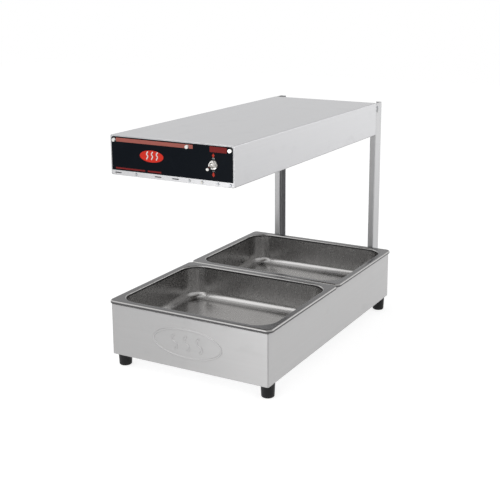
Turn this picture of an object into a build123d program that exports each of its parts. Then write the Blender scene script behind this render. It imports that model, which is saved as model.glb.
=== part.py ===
"""Countertop chip warmer: a heated base with two lift-out pans under a cantilevered infrared hood.

Frame: X to the right, Y from the control panel to the rear, Z up. The origin lies on the floor, under the
middle of the whole object. All sizes are in millimetres.

The feature that takes the most skill is the hood: a folded shell around an arched reflector, a sheathed
heating element on hangers, a welded wire guard and a toggle switch that swings in its threaded bushing.
"""

import os
from math import cos, radians, sin, sqrt

from build123d import *

# ---------------------------------------------------------------- driving sizes
sheet = 1.2  # folded stainless and aluminium sheet
bend = 2.4  # outside radius of a fold
slip = 0.2  # air between sheets that slide into each other
hole_slip = 0.1  # air round a screw in its hole
through = 4.0  # how far a cutter for a screw hole goes each way

# half-size food pans
pan_width = 325.0
pan_length = 265.0
pan_depth = 65.0
pan_sheet = 0.8
pan_rim_corner = 10.0
pan_rim_roll = 3.2
pan_mouth_roll = 3.0  # where the rim turns down into the body
pan_lip = 5.5
pan_flat = 12.5  # from the rim's outer edge to the opening
pan_opening_corner = 36.0
pan_draft = 3.0  # degrees
pan_floor_radius = 14.0
pan_gap = 3.0
pan_seat_gap = 0.1
pan_wall_slip = 2.3

# base
pan_side_overhang = 5.0  # the pans' rims reach past the base on each side
pan_end_overhang = 2.0  # and in front and behind
foot_height = 25.0
under_air = 9.9  # between the heater tray and the bottom panel
base_flange = 25.0
rear_return = 12.0
rear_top_flange = 7.0
rear_screw_inset = 16.0
bottom_screw_shares = (0.3, 0.7)
vent_slot_length = 46.0
vent_slot_width = 5.0
vent_column = 55.0
vent_pitch = 22.0
vent_rows = 5
crest_width = 140.0
crest_height = 54.0
crest_bead = 3.4
crest_relief = 1.0
crest_round = 0.7  # on the beads' edges
crest_wave_height = 25.0
crest_wave_pitch = 25.0
crest_wave_swing = 5.0
crest_waves = 3

# pan well
well_sheet = 0.8
well_corner = 20.0
well_hem = 2.0
well_hem_rise = 6.2
well_flange = 1.5
well_notch = 4.0  # clear of the pans' lips where they meet
well_pan_clearance = 9.0
well_floor_radius = 4.0

# base heater
heater_thickness = 2.0
insulation_thickness = 10.0
tray_sheet = 1.0
tray_flange = 8.0
tray_side_margin = 13.0
tray_screw_shares = (0.2, 0.8)
tray_front_margin = 20.0
tray_rear_margin = 50.0

# feet
foot_top_radius = 12.4
foot_bottom_radius = 11.2
foot_edge = 2.4
foot_side_inset = 11.8
foot_end_inset = 20.6
foot_recess_radius = 5.0
foot_recess_depth = 12.0

# posts
post_width = 12.0
post_depth = 31.0
post_wall = 1.2
post_fold = 2.0  # outside radius of the channel's folds
post_standoff = 11.0
post_rise = 5.0  # the posts and brackets start this far above the base's underside
post_drop = 1.0  # the posts stop this far below the hood's top
bracket_sheet = 2.0
bracket_web = 24.0
bracket_lip = 10.0
bracket_drop = 8.0  # below the base's top
bracket_screw_inset = 14.0
post_bolt_inset = 27.0
insert_radius = 3.6
insert_bulge = 4.4
insert_length = 9.0

# hood
hood_width = 236.0
hood_height = 67.0
serving_gap = 244.0  # from the base's top to the hood's underside
hood_overhang = 36.0  # in front of the base
hood_lip = 10.0
panel_lip = 8.5  # bare strip under the control overlay
overlay_thickness = 0.8
overlay_margin = 2.5
overlay_corner = 4.0
front_bay = 31.0  # from the hood's front to the reflector
rear_bay = 23.0
fold_flange = 14.0  # turned down from the hood's top behind the end panels
panel_screw_side = 7.5
panel_screw_middle = 32.0
panel_screw_drop = 8.5
lip_screw_xs = (-68.0, 35.0, 59.0, 88.0, 111.0)
lip_slot_xs = (-104.0, -25.0, 9.0)
lip_slot_length = 13.0
lip_slot_height = 1.6
mount_plate = 3.0
mount_tongue_height = 26.0
mount_tongue_reach = 27.0
mount_tongue_round = 4.0
mount_screw_drops = (5.2, 12.4)
mount_screw_setback = 7.0
rear_screw_far = 90.0
rear_screw_near = 30.0

# reflector, element and guard
reflector_sheet = 0.8
reflector_leg = 6.8
reflector_trough_half = 62.0
reflector_rise = 34.0
hood_blanket = 8.0
element_radius = 5.5
element_drop = 20.0  # below the trough's crown
element_pin_radius = 2.0
element_pin_length = 8.0
element_chamfer = 0.8
element_end = 4.0
ceramic_radius = 9.0
end_plate = 1.0
hanger_count = 2
hanger_width = 8.0
hanger_thickness = 1.2
hanger_stud = 1.5
hanger_collar = 3.0
hanger_seat = 0.3
guard_long_radius = 1.5
guard_cross_radius = 1.25
guard_half_span = 48.0
guard_inset = 1.0  # the cross wires end this far inside the blanket's edge
guard_bars = 9
guard_end_margin = 22.0
guard_tail = 8.0
guard_clip_foot = 8.0
guard_clip_width = 8.0
guard_clip_grip = 6.0
guard_clip_stop = 1.0
guard_clip_sheet = 1.0
weld = 0.3

# toggle switch
switch_inset = 37.3  # its axis from the hood's right side
switch_drop = 33.0  # its axis below the hood's top
switch_body_width = 17.0
switch_body_height = 29.0
switch_body_depth = 24.0
blade_width = 6.0
blade_thickness = 0.8
blade_length = 7.0
blade_spread = 8.0
bushing_radius = 5.6
bushing_bore = 4.2
bushing_reach = 6.0  # in front of the overlay
bushing_flare = 1.0
switch_inner_nut_height = 2.5
switch_nut_flats = 12.7
switch_nut_height = 3.2
switch_nut_round = 1.2
switch_washer_radius = 7.2
switch_washer_height = 0.8
lever_pivot_out = 2.4  # in front of the overlay
lever_length = 15.6
lever_root_radius = 1.6
lever_tip_radius = 2.7
lever_ball_radius = 3.9
lever_tilt = 15.0  # degrees below level at rest
lever_pin_radius = 0.8
lever_pin_slip = 0.05

# fasteners
head_crown_share = 0.75  # of a head's radius stays flat on top
screw_end = 3.0
small_screw = 1.5  # shank radius
small_screw_length = 5.5
small_head = 3.0
small_head_height = 1.8
lip_screw = 1.3
lip_head = 2.4
lip_head_height = 1.2
panel_screw = 2.0
panel_head = 3.9
panel_head_height = 2.2
mount_screw = 2.0
mount_head = 3.2
mount_head_height = 1.8
foot_screw = 2.0
foot_screw_head = 4.2
foot_screw_head_height = 2.6
foot_screw_end = 1.0
foot_nut_flats = 7.0
foot_nut_height = 3.2
bolt_radius = 2.5
bolt_head = 4.6
bolt_head_height = 3.2

# wiring
cable_radius = 2.5
lead_radius = 1.5
cable_rise = 11.0  # above the bottom panel, and above the reflector's flats
cable_bend = 11.0
grommet_lip = 0.6
grommet_wall = 1.6
grommet_flange = 1.2
gland_x = 60.0
gland_rise = 11.5
gland_bore = 4.5
gland_body = 8.0
gland_flange = 10.5
gland_flange_height = 3.0
gland_reach = 9.0
gland_inside = 6.0
gland_taper = 2.0
terminal_length = 48.0
terminal_width = 18.0
terminal_height = 13.0
terminal_well = 5.0
terminal_well_radius = 2.6
terminal_barrier = 1.6
terminal_barrier_rise = 2.5
terminal_setback = 36.0
hood_terminal_width = 12.0
hood_terminal_length = 30.0
hood_terminal_height = 17.0
hood_terminal_setback = 30.0
terminal_ways = 3
terminal_round = 1.0
thermostat_radius = 8.0
thermostat_height = 10.0
thermostat_flange = 3.0
thermostat_flange_height = 1.5
thermostat_blade = 5.0
thermostat_blade_spread = 4.5
thermostat_setback = 26.0
cable_dip = 4.0  # lower at the terminal block than through the rear panel
cable_settle = 6.0
cable_settle_bend = 8.0
cable_slack = 1.0
lead_notch = 20.0
lead_inset = 6.0
lead_turn_far = 70.0
lead_turn_near = 30.0
lead_bend = 14.0
lead_short_bend = 6.0
lead_step = 16.0
lead_drop = 4.0

# ---------------------------------------------------------------- heights
rim_rise = well_hem_rise + pan_seat_gap + pan_sheet
base_width = pan_width - 2 * pan_side_overhang
base_length = 2 * pan_length + pan_gap - 2 * pan_end_overhang
base_bottom = foot_height
bottom_panel_under = base_bottom + sheet
bottom_panel_top = bottom_panel_under + sheet
tray_floor_top = bottom_panel_top + under_air + tray_sheet
well_floor_under = tray_floor_top + insulation_thickness + heater_thickness
well_floor_top = well_floor_under + well_sheet
pan_bottom = well_floor_top + well_pan_clearance
rim_top = pan_bottom + pan_depth
rim_under = rim_top - pan_sheet
hem_top = rim_under - pan_seat_gap
base_top = rim_top - rim_rise
base_height = base_top - base_bottom
post_bottom = base_bottom + post_rise
bracket_height = base_height - post_rise - bracket_drop
bracket_top = post_bottom + bracket_height
bracket_screw_heights = (post_bottom + bracket_screw_inset, bracket_top - bracket_screw_inset)
post_bolt_heights = (post_bottom + post_bolt_inset, bracket_top - post_bolt_inset)
hood_bottom = base_top + serving_gap
hood_top = hood_bottom + hood_height
post_top = hood_top - post_drop
overlay_bottom = hood_bottom + panel_lip
overlay_top = hood_top - overlay_margin
panel_screw_z = hood_top - panel_screw_drop
lip_z = hood_bottom + panel_lip / 2
switch_z = hood_top - switch_drop
flat_top = hood_bottom + sheet + reflector_leg
flat_under = flat_top - reflector_sheet
crown_top = flat_top + reflector_rise
element_z = crown_top - element_drop
tongue_top = hood_top - sheet - 3 * sheet
tongue_bottom = tongue_top - mount_tongue_height
mount_screw_heights = [tongue_top - drop for drop in mount_screw_drops]
cable_low = bottom_panel_top + cable_rise
cable_high = flat_top + cable_rise
gland_z = bottom_panel_top + gland_rise

# ---------------------------------------------------------------- stations along Y
reach_in_front = (
    hood_overhang
    + overlay_thickness
    + lever_pivot_out
    + lever_length * cos(radians(lever_tilt))
    + lever_tip_radius
)
reach_behind = base_length + post_standoff + post_depth
base_front = (reach_in_front - reach_behind) / 2
base_rear = base_front + base_length
base_middle = (base_front + base_rear) / 2
hood_front = base_front - hood_overhang
hood_rear = base_rear + post_standoff
post_front = hood_rear
post_rear = post_front + post_depth
overlay_front = hood_front - overlay_thickness
pivot_y = overlay_front - lever_pivot_out
switch_body_front = hood_front + sheet + switch_inner_nut_height
switch_body_rear = switch_body_front + switch_body_depth
mount_screw_y = post_front + post_wall + mount_screw_setback
hood_block_rear = hood_rear - hood_terminal_setback
reflector_front = hood_front + front_bay
reflector_rear = hood_rear - rear_bay
pan_pitch = pan_length + pan_gap
front_pan_y = base_middle - pan_pitch / 2
rear_pan_y = base_middle + pan_pitch / 2

# ---------------------------------------------------------------- stations along X
base_half = base_width / 2
hood_half = hood_width / 2
post_x = hood_half - post_width / 2
post_cavity_half = post_width / 2 - post_wall
pan_body_half = pan_width / 2 - pan_flat + pan_sheet
well_half_x = pan_body_half + pan_wall_slip
well_front = front_pan_y - pan_length / 2 + pan_flat - pan_sheet - pan_wall_slip
well_rear = 2 * base_middle - well_front
well_half_y = (well_rear - well_front) / 2
reflector_half = hood_half - bend  # the flat part of the shell's lips starts here
mouth_half = hood_half - sheet - hood_lip
switch_x = hood_half - switch_inset
panel_screw_xs = (panel_screw_side - hood_half, panel_screw_middle, hood_half - panel_screw_side)
bracket_half = bracket_web / 2 + bracket_lip
return_middle = base_half - sheet - rear_return / 2
rear_panel_screw_x = max(return_middle, post_x + bracket_half + small_head + slip)
terminal_left = gland_x - terminal_length / 2
foot_xs = (foot_side_inset - base_half, base_half - foot_side_inset)
foot_ys = (base_front + foot_end_inset, base_rear - foot_end_inset)
tray_half = well_half_x - tray_side_margin
trough_radius = (reflector_trough_half**2 + reflector_rise**2) / (2 * reflector_rise)
blanket_half = sqrt((trough_radius + hood_blanket) ** 2 - (trough_radius - reflector_rise) ** 2)
guard_reach = blanket_half - guard_inset
tray_front = base_front + tray_front_margin
tray_rear = base_rear - tray_rear_margin


# ---------------------------------------------------------------- helpers
def slab(x0, x1, y0, y1, z0, z1):
    """A block between two opposite corners."""
    block = Box(x1 - x0, y1 - y0, z1 - z0)
    return Pos((x0 + x1) / 2, (y0 + y1) / 2, (z0 + z1) / 2) * block


def side_slab(side, near, far, y0, y1, z0, z1):
    """A block on the left or the right, between two distances from the middle."""
    x0, x1 = sorted((side * near, side * far))
    return slab(x0, x1, y0, y1, z0, z1)


def rod(radius, start, end):
    """A round bar from one point to another."""
    along = Vector(*end) - Vector(*start)
    bar = Cylinder(radius, along.length, align=(Align.CENTER, Align.CENTER, Align.MIN))
    return Plane(origin=start, z_dir=along) * bar


def cone_bar(start_radius, end_radius, start, end):
    """A tapered round bar from one point to another."""
    along = Vector(*end) - Vector(*start)
    base = (Align.CENTER, Align.CENTER, Align.MIN)
    return Plane(origin=start, z_dir=along) * Cone(start_radius, end_radius, along.length, align=base)


def ring(outer, inner, start, end):
    """A round bar with a bore."""
    return rod(outer, start, end) - rod(inner, start, end)


def hexagon_bar(flats, start, end):
    """A hexagonal bar of a given width across flats."""
    along = Vector(*end) - Vector(*start)
    outline = RegularPolygon(flats / sqrt(3), 6)
    return Plane(origin=start, z_dir=along) * extrude(outline, along.length)


def shifted(point, direction, distance):
    """The point moved along a unit direction."""
    return tuple(p + d * distance for p, d in zip(point, direction))


def hole(radius, point, direction):
    """A cutter for a screw hole through sheet, either way from a point."""
    return rod(radius + hole_slip, shifted(point, direction, -through), shifted(point, direction, through))


def screw(seat, outward, shank, shank_length, head, head_height):
    """A screw: its tapered head stands outward from the seat and its shank goes the other way."""
    body = cone_bar(head, head * head_crown_share, seat, shifted(seat, outward, head_height))
    return body + rod(shank, shifted(seat, outward, -shank_length), seat)


def casing_screw(seat, outward):
    """One of the screws that hold the sheet covers."""
    return screw(seat, outward, small_screw, small_screw_length, small_head, small_head_height)


def group(solids):
    """Several separate solids as one node."""
    return Compound(children=list(solids))


def tube_along(points, radius, bends):
    """A round cable along straight runs joined by arcs."""
    path = FilletPolyline(*points, radius=bends)
    start = Plane(origin=path @ 0, z_dir=path % 0)
    return sweep(start * Circle(radius), path=path)


# ---------------------------------------------------------------- base
def heat_crest():
    """Beads of the pressed emblem on the front: an oval round three rising waves, proud of the sheet."""
    middle = (0, base_front, base_bottom + base_height / 2)
    face = Plane(origin=middle, x_dir=(1, 0, 0), z_dir=(0, -1, 0))
    half_width, half_height = crest_width / 2, crest_height / 2
    outlines = [Ellipse(half_width, half_height) - Ellipse(half_width - crest_bead, half_height - crest_bead)]
    rise = crest_wave_height / 2
    for index in range(crest_waves):
        x = (index - (crest_waves - 1) / 2) * crest_wave_pitch
        lower = ThreePointArc((x, -rise), (x + crest_wave_swing, -rise / 2), (x, 0))
        upper = ThreePointArc((x, 0), (x - crest_wave_swing, rise / 2), (x, rise))
        outlines.append(trace(lower, crest_bead) + trace(upper, crest_bead))
    beads = []
    for outline in outlines:
        bead = face * extrude(outline, crest_relief)
        beads.append(fillet(bead.edges().group_by(Axis.Y)[0], crest_round))
    return beads


def rear_panel_screw_points():
    """Seats of the screws that hold the base's rear panel."""
    heights = (base_bottom + rear_screw_inset, base_top - rear_screw_inset)
    return [(side * rear_panel_screw_x, base_rear, z) for side in (-1, 1) for z in heights]


def bottom_screw_points():
    """Seats of the screws through the shell's lower returns into the bottom panel."""
    x = base_half - base_flange / 2
    ys = [base_front + base_length * share for share in bottom_screw_shares]
    return [(side * x, y, base_bottom) for side in (-1, 1) for y in ys]


def foot_points(z):
    return [(x, y, z) for x in foot_xs for y in foot_ys]


def base_shell():
    """Front and sides folded from one sheet, with returns at the top, the bottom and the rear edges."""
    shell = slab(-base_half, base_half, base_front, base_rear, base_bottom, base_top)
    shell = fillet(shell.edges().filter_by(Axis.Z).group_by(Axis.Y)[0], bend)
    wall = base_half - sheet
    inner = slab(-wall, wall, base_front + sheet, base_rear + sheet, bottom_panel_under, base_top - sheet)
    shell -= fillet(inner.edges().filter_by(Axis.Z).group_by(Axis.Y)[0], bend - sheet)
    hole_x = well_half_x + well_hem + slip
    hole_front = base_middle - well_half_y - well_hem - slip
    above, below = base_top + sheet, base_top - 2 * sheet
    shell -= slab(-hole_x, hole_x, hole_front, base_rear, below, above)
    shell -= slab(-wall, wall, base_rear - rear_top_flange, base_rear + sheet, below, above)
    reach = base_half - base_flange
    under = base_bottom - sheet
    shell -= slab(-reach, reach, base_front + base_flange, base_rear + sheet, under, bottom_panel_top)
    shell -= slab(-wall, wall, base_rear - rear_return, base_rear + sheet, under, bottom_panel_under)
    for side in (-1, 1):
        y0, y1 = base_rear - 2 * sheet, base_rear - sheet
        z0, z1 = bottom_panel_top + slip, base_top - 2 * sheet
        shell += side_slab(side, wall - rear_return, wall, y0, y1, z0, z1)
    for point in rear_panel_screw_points():
        shell -= hole(small_screw, point, (0, 1, 0))
    for point in foot_points(base_bottom):
        shell -= hole(foot_screw, point, (0, 0, 1))
    for point in bottom_screw_points():
        shell -= hole(small_screw, point, (0, 0, 1))
    for bead in heat_crest():
        shell += bead
    return shell


def base_rear_panel():
    """Rear sheet with folded top and bottom returns and holes for the wiring, the brackets and the cord."""
    half = base_half - sheet - slip
    plate = slab(-half, half, base_rear - sheet, base_rear, base_bottom, base_top)
    hem_rear = base_middle + well_half_y + well_hem + slip
    flange_front = max(hem_rear, base_rear - rear_top_flange + slip)
    plate += slab(-half, half, flange_front, base_rear, base_top - sheet, base_top)
    plate += slab(-half, half, base_rear - rear_return + slip, base_rear, base_bottom, bottom_panel_under)
    for point in rear_panel_screw_points() + bracket_screw_points():
        plate -= hole(small_screw, point, (0, 1, 0))
    plate -= hole(cable_radius + grommet_wall, (post_x, base_rear, cable_low), (0, 1, 0))
    return plate - hole(gland_body, (gland_x, base_rear, gland_z), (0, 1, 0))


def base_bottom_panel():
    """Bottom sheet on the shell's lower returns, with two rows of vent slots."""
    half = base_half - sheet - slip
    y0, y1 = base_front + sheet + slip, base_rear - sheet - slip
    plate = slab(-half, half, y0, y1, bottom_panel_under, bottom_panel_top)
    plate = fillet(plate.edges().filter_by(Axis.Z).group_by(Axis.Y)[0], bend - sheet)
    slot = extrude(SlotOverall(vent_slot_length, vent_slot_width), through, both=True)
    for side in (-1, 1):
        for row in range(vent_rows):
            y = base_middle + (row - (vent_rows - 1) / 2) * vent_pitch
            plate -= Pos(side * vent_column, y, bottom_panel_top) * slot
    for point in foot_points(base_bottom):
        plate -= hole(foot_screw, point, (0, 0, 1))
    for point in bottom_screw_points():
        plate -= hole(small_screw, point, (0, 0, 1))
    return plate


def well_block(grow, z0, z1, corner):
    """A block with the pan well's inner outline, grown outwards."""
    outline = RectangleRounded(2 * (well_half_x + grow), 2 * (well_half_y + grow), corner)
    return Pos(0, base_middle, z0) * extrude(outline, z1 - z0)


def pan_well():
    """Deep liner that carries both pans on a raised hem, notched where the two pans' lips meet."""
    outer = well_block(well_sheet, well_floor_under, hem_top, well_corner + well_sheet)
    outer = fillet(outer.edges().group_by(Axis.Z)[0], well_floor_radius + well_sheet)
    inner = well_block(0, well_floor_top, hem_top + sheet, well_corner)
    inner = fillet(inner.edges().group_by(Axis.Z)[0], well_floor_radius)
    well = outer + well_block(well_hem, base_top, hem_top, well_corner + well_hem)
    well += well_block(well_hem + well_flange, base_top, base_top + well_sheet, well_corner + well_hem)
    well -= inner
    notch = pan_gap / 2 + pan_sheet + well_notch
    far = well_half_x + well_hem + well_flange + sheet
    y0, y1 = base_middle - notch, base_middle + notch
    return well - slab(-far, far, y0, y1, base_top + well_sheet, hem_top + sheet)


def base_heater():
    """Flat blanket element pressed against the well's floor."""
    half = tray_half - slip
    z0 = well_floor_under - heater_thickness
    return slab(-half, half, tray_front + slip, tray_rear - slip, z0, well_floor_under)


def heater_insulation():
    """Fibre blanket between the element and its tray, notched for the element's lead."""
    half = tray_half - slip
    z1 = well_floor_under - heater_thickness
    blanket = slab(-half, half, tray_front + slip, tray_rear - slip, tray_floor_top, z1)
    notch = lead_radius + slip
    return blanket - slab(-notch, notch, tray_rear - lead_notch, tray_rear, z1 - 2 * notch, z1)


def heater_lead_z():
    return well_floor_under - heater_thickness - lead_radius


def tray_screw_points():
    """Seats of the screws through the tray's flange."""
    x = tray_half + tray_sheet + tray_flange / 2
    ys = [tray_front + (tray_rear - tray_front) * share for share in tray_screw_shares]
    return [(side * x, y, well_floor_under - tray_sheet) for side in (-1, 1) for y in ys]


def heater_tray():
    """Shallow tray that holds the blanket element up, screwed to the well's floor by its flange."""
    x, y0, y1 = tray_half + tray_sheet, tray_front - tray_sheet, tray_rear + tray_sheet
    tray = slab(-x, x, y0, y1, tray_floor_top - tray_sheet, well_floor_under)
    edge = tray_flange
    tray += slab(-x - edge, x + edge, y0 - edge, y1 + edge, well_floor_under - tray_sheet, well_floor_under)
    tray -= slab(-tray_half, tray_half, tray_front, tray_rear, tray_floor_top, well_floor_under + sheet)
    for point in tray_screw_points():
        tray -= hole(small_screw, point, (0, 0, 1))
    lead_start, lead_end = (0, tray_rear - lead_notch, heater_lead_z()), (0, y1 + tray_sheet, heater_lead_z())
    return tray - rod(lead_radius + slip, lead_start, lead_end)


def tray_screws():
    down = (0, 0, -1)
    shape = (small_screw, tray_sheet, small_head, small_head_height)
    return group(screw(point, down, *shape) for point in tray_screw_points())


def base_thermostat():
    """Disc thermostat under the well's floor, with its flange and two blade terminals."""
    y, z = base_rear - thermostat_setback, well_floor_under
    low = z - thermostat_height
    body = rod(thermostat_radius, (0, y, low), (0, y, z))
    body += rod(thermostat_radius + thermostat_flange, (0, y, z - thermostat_flange_height), (0, y, z))
    for side in (-1, 1):
        x = side * thermostat_blade_spread
        edge = blade_thickness / 2
        reach = blade_width / 2
        body += slab(x - edge, x + edge, y - reach, y + reach, low - thermostat_blade, low)
    return body


def terminal_block():
    """Three-way terminal block on the bottom panel, with a barrier between the ways."""
    x0, y0 = terminal_left, base_rear - terminal_setback
    top = bottom_panel_top + terminal_height
    block = slab(x0, x0 + terminal_length, y0, y0 + terminal_width, bottom_panel_top, top)
    pitch = terminal_length / terminal_ways
    for way in range(terminal_ways):
        middle = (x0 + pitch * (way + 0.5), y0 + terminal_width / 2)
        block -= rod(terminal_well_radius, (*middle, top - terminal_well), (*middle, top + sheet))
    for barrier in range(1, terminal_ways):
        x, edge = x0 + pitch * barrier, terminal_barrier / 2
        block += slab(x - edge, x + edge, y0, y0 + terminal_width, top, top + terminal_barrier_rise)
    return block


def cord_gland():
    """Bushing in the rear panel for the supply cord, with an open bore."""
    inside, outside = base_rear - sheet - gland_inside, base_rear + gland_reach
    flange_end = base_rear + gland_flange_height
    gland = rod(gland_body, (gland_x, inside, gland_z), (gland_x, base_rear, gland_z))
    gland += rod(gland_flange, (gland_x, base_rear, gland_z), (gland_x, flange_end, gland_z))
    gland += cone_bar(
        gland_body, gland_body - gland_taper, (gland_x, flange_end, gland_z), (gland_x, outside, gland_z)
    )
    return gland - rod(gland_bore, (gland_x, inside - sheet, gland_z), (gland_x, outside + sheet, gland_z))


def rubber_foot(x, y):
    """Tapered rubber foot with a rounded tread edge and a recess for its screw."""
    body = cone_bar(foot_bottom_radius, foot_top_radius, (x, y, 0), (x, y, foot_height))
    body = fillet(body.edges().group_by(Axis.Z)[0], foot_edge)
    body -= rod(foot_recess_radius, (x, y, -sheet), (x, y, foot_recess_depth))
    return body - rod(foot_screw + hole_slip, (x, y, 0), (x, y, foot_height + sheet))


def foot_screws():
    """The screws that go up through the feet, the shell and the bottom panel."""
    length = bottom_panel_top + foot_nut_height + foot_screw_end - foot_recess_depth
    shape = (foot_screw, length, foot_screw_head, foot_screw_head_height)
    return group(screw(point, (0, 0, -1), *shape) for point in foot_points(foot_recess_depth))


def foot_nuts():
    nuts = []
    for point in foot_points(bottom_panel_top):
        top = shifted(point, (0, 0, 1), foot_nut_height)
        nuts.append(hexagon_bar(foot_nut_flats, point, top) - rod(foot_screw + hole_slip, point, top))
    return group(nuts)


def casing_screws():
    """The screws of both rear panels, the base's bottom panel and the post brackets."""
    behind, below = (0, 1, 0), (0, 0, -1)
    made = [casing_screw(point, behind) for point in rear_panel_screw_points() + rear_screw_points()]
    made += [casing_screw(shifted(point, behind, bracket_sheet), behind) for point in bracket_screw_points()]
    return group(made + [casing_screw(point, below) for point in bottom_screw_points()])


# ---------------------------------------------------------------- posts
def bracket_screw_points():
    """The four screws of each post bracket, where they enter the rear panel."""
    reach = bracket_web / 2 + bracket_lip / 2
    xs = [side * post_x + offset for side in (-1, 1) for offset in (-reach, reach)]
    return [(x, base_rear, z) for x in xs for z in bracket_screw_heights]


def post_bracket(side):
    """Hat-shaped standoff between the base's rear panel and a post."""
    x = side * post_x
    web = bracket_web / 2
    z0, z1 = post_bottom, post_bottom + bracket_height
    hat = slab(x - web, x + web, base_rear, post_front, z0, z1)
    hat = fillet(hat.edges().filter_by(Axis.Z).group_by(Axis.Y)[-1], bend)
    hat += slab(x - bracket_half, x + bracket_half, base_rear, base_rear + bracket_sheet, z0, z1)
    core = web - bracket_sheet
    hat -= slab(x - core, x + core, base_rear - sheet, post_front - bracket_sheet, z0 - sheet, z1 + sheet)
    for point in bracket_screw_points():
        hat -= hole(small_screw, point, (0, 1, 0))
    for z in post_bolt_heights:
        hat -= hole(bolt_radius, (x, post_front - bracket_sheet, z), (0, 1, 0))
    if side > 0:
        hat -= hole(cable_radius + grommet_wall, (x, post_front - bracket_sheet, cable_low), (0, 1, 0))
    return hat


def post(side):
    """Folded channel that carries the hood, open to the middle, with holes for inserts, tongue and cable."""
    x = side * post_x
    outermost = -1 if side > 0 else 0
    channel = side_slab(side, hood_half - post_width, hood_half, post_front, post_rear, post_bottom, post_top)
    channel = fillet(channel.edges().filter_by(Axis.Z).group_by(Axis.X)[outermost], post_fold)
    near, far = hood_half - post_width - sheet, hood_half - post_wall
    y0, y1 = post_front + post_wall, post_rear - post_wall
    core = side_slab(side, near, far, y0, y1, post_bottom - sheet, post_top + sheet)
    channel -= fillet(core.edges().filter_by(Axis.Z).group_by(Axis.X)[outermost], post_fold - post_wall)
    front, inside = post_front - sheet, post_front + 2 * post_wall
    for z in post_bolt_heights:
        channel -= rod(insert_radius + hole_slip, (x, front, z), (x, inside, z))
    x0, x1 = tongue_faces(side)
    channel -= slab(x0 - slip, x1 + slip, front, inside, tongue_bottom - slip, tongue_top + slip)
    for z in mount_screw_heights:
        start, end = (x, mount_screw_y, z), (x + side * post_width, mount_screw_y, z)
        channel -= rod(mount_screw + hole_slip, start, end)
    if side > 0:
        for z in (cable_low, cable_high):
            channel -= rod(cable_radius + grommet_wall, (x, front, z), (x, inside, z))
    return channel


def post_bolts():
    """Bolts from inside the brackets into the posts' inserts."""
    length = bracket_sheet + insert_length
    shape = (bolt_radius, length, bolt_head, bolt_head_height)
    y = post_front - bracket_sheet
    points = [(side * post_x, y, z) for side in (-1, 1) for z in post_bolt_heights]
    return group(screw(point, (0, -1, 0), *shape) for point in points)


def post_inserts():
    """Threaded inserts in the posts' front walls, bulged behind the wall."""
    made = []
    y0, y1, y2 = post_front, post_front + post_wall, post_front + insert_length
    for side in (-1, 1):
        for z in post_bolt_heights:
            x = side * post_x
            insert = rod(insert_radius, (x, y0, z), (x, y2, z))
            insert += cone_bar(insert_bulge, insert_radius, (x, y1, z), (x, y1 + insert_bulge / 2, z))
            made.append(insert - rod(bolt_radius + hole_slip, (x, y0, z), (x, y2, z)))
    return group(made)


# ---------------------------------------------------------------- hood casing
def panel_screw_points():
    return [(x, overlay_front, panel_screw_z) for x in panel_screw_xs]


def lip_screw_points():
    return [(x, hood_front, lip_z) for x in lip_screw_xs]


def rear_screw_points():
    """Seats of the screws in the hood's rear panel, above through the fold and below into the bay cover."""
    xs = (-rear_screw_far, -rear_screw_near, rear_screw_near, rear_screw_far)
    upper = [(x, hood_rear, panel_screw_z) for x in xs]
    return upper + [(x, hood_rear, lip_z) for x in (-rear_screw_far, rear_screw_far)]


def hood_shell():
    """Top and sides folded from one sheet, with inward lips below and turned-down flanges at both ends."""
    outer = slab(-hood_half, hood_half, hood_front, hood_rear, hood_bottom, hood_top)
    outer = fillet(outer.edges().filter_by(Axis.Y), bend)
    wall = hood_half - sheet
    front, rear = hood_front - sheet, hood_rear + sheet
    inner = slab(-wall, wall, front, rear, hood_bottom + sheet, hood_top - sheet)
    inner = fillet(inner.edges().filter_by(Axis.Y), bend - sheet)
    z0, z1 = hood_bottom - sheet, hood_bottom + 2 * sheet
    shell = outer - inner - slab(-mouth_half, mouth_half, front, rear, z0, z1)
    z0, z1 = hood_top - fold_flange, hood_top - sheet
    half = hood_half - bend - slip
    shell += slab(-half, half, hood_front + sheet, hood_front + 2 * sheet, z0, z1)
    half = tongue_faces(1)[0] - sheet
    shell += slab(-half, half, hood_rear - 2 * sheet, hood_rear - sheet, z0, z1)
    for point in panel_screw_points():
        shell -= hole(panel_screw, point, (0, 1, 0))
    for point in rear_screw_points():
        shell -= hole(small_screw, point, (0, 1, 0))
    return shell


def end_panel(y0, y1):
    """A plate inside the shell's end that drops to the underside between the shell's lips."""
    half = hood_half - sheet - slip
    plate = slab(-half, half, y0, y1, hood_bottom + sheet + slip, hood_top - sheet - slip)
    plate = fillet(plate.edges().filter_by(Axis.Y), bend - sheet)
    mouth = mouth_half - slip
    return plate + slab(-mouth, mouth, y0, y1, hood_bottom, hood_bottom + 2 * sheet)


def lip_slots(y):
    """Cutters for the row of vent slots under the control overlay."""
    face = Plane(origin=(0, y, lip_z), x_dir=(1, 0, 0), z_dir=(0, -1, 0))
    slot = face * extrude(SlotOverall(lip_slot_length, lip_slot_height), through, both=True)
    return [Pos(x, 0, 0) * slot for x in lip_slot_xs]


def hood_front_panel():
    """Front end panel: the bare lip below the overlay has vent slots and small screws."""
    panel = end_panel(hood_front, hood_front + sheet)
    for slot in lip_slots(hood_front):
        panel -= slot
    for point in lip_screw_points():
        panel -= hole(lip_screw, point, (0, 1, 0))
    for point in panel_screw_points():
        panel -= hole(panel_screw, point, (0, 1, 0))
    return panel - hole(bushing_radius, (switch_x, hood_front, switch_z), (0, 1, 0))


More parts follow.
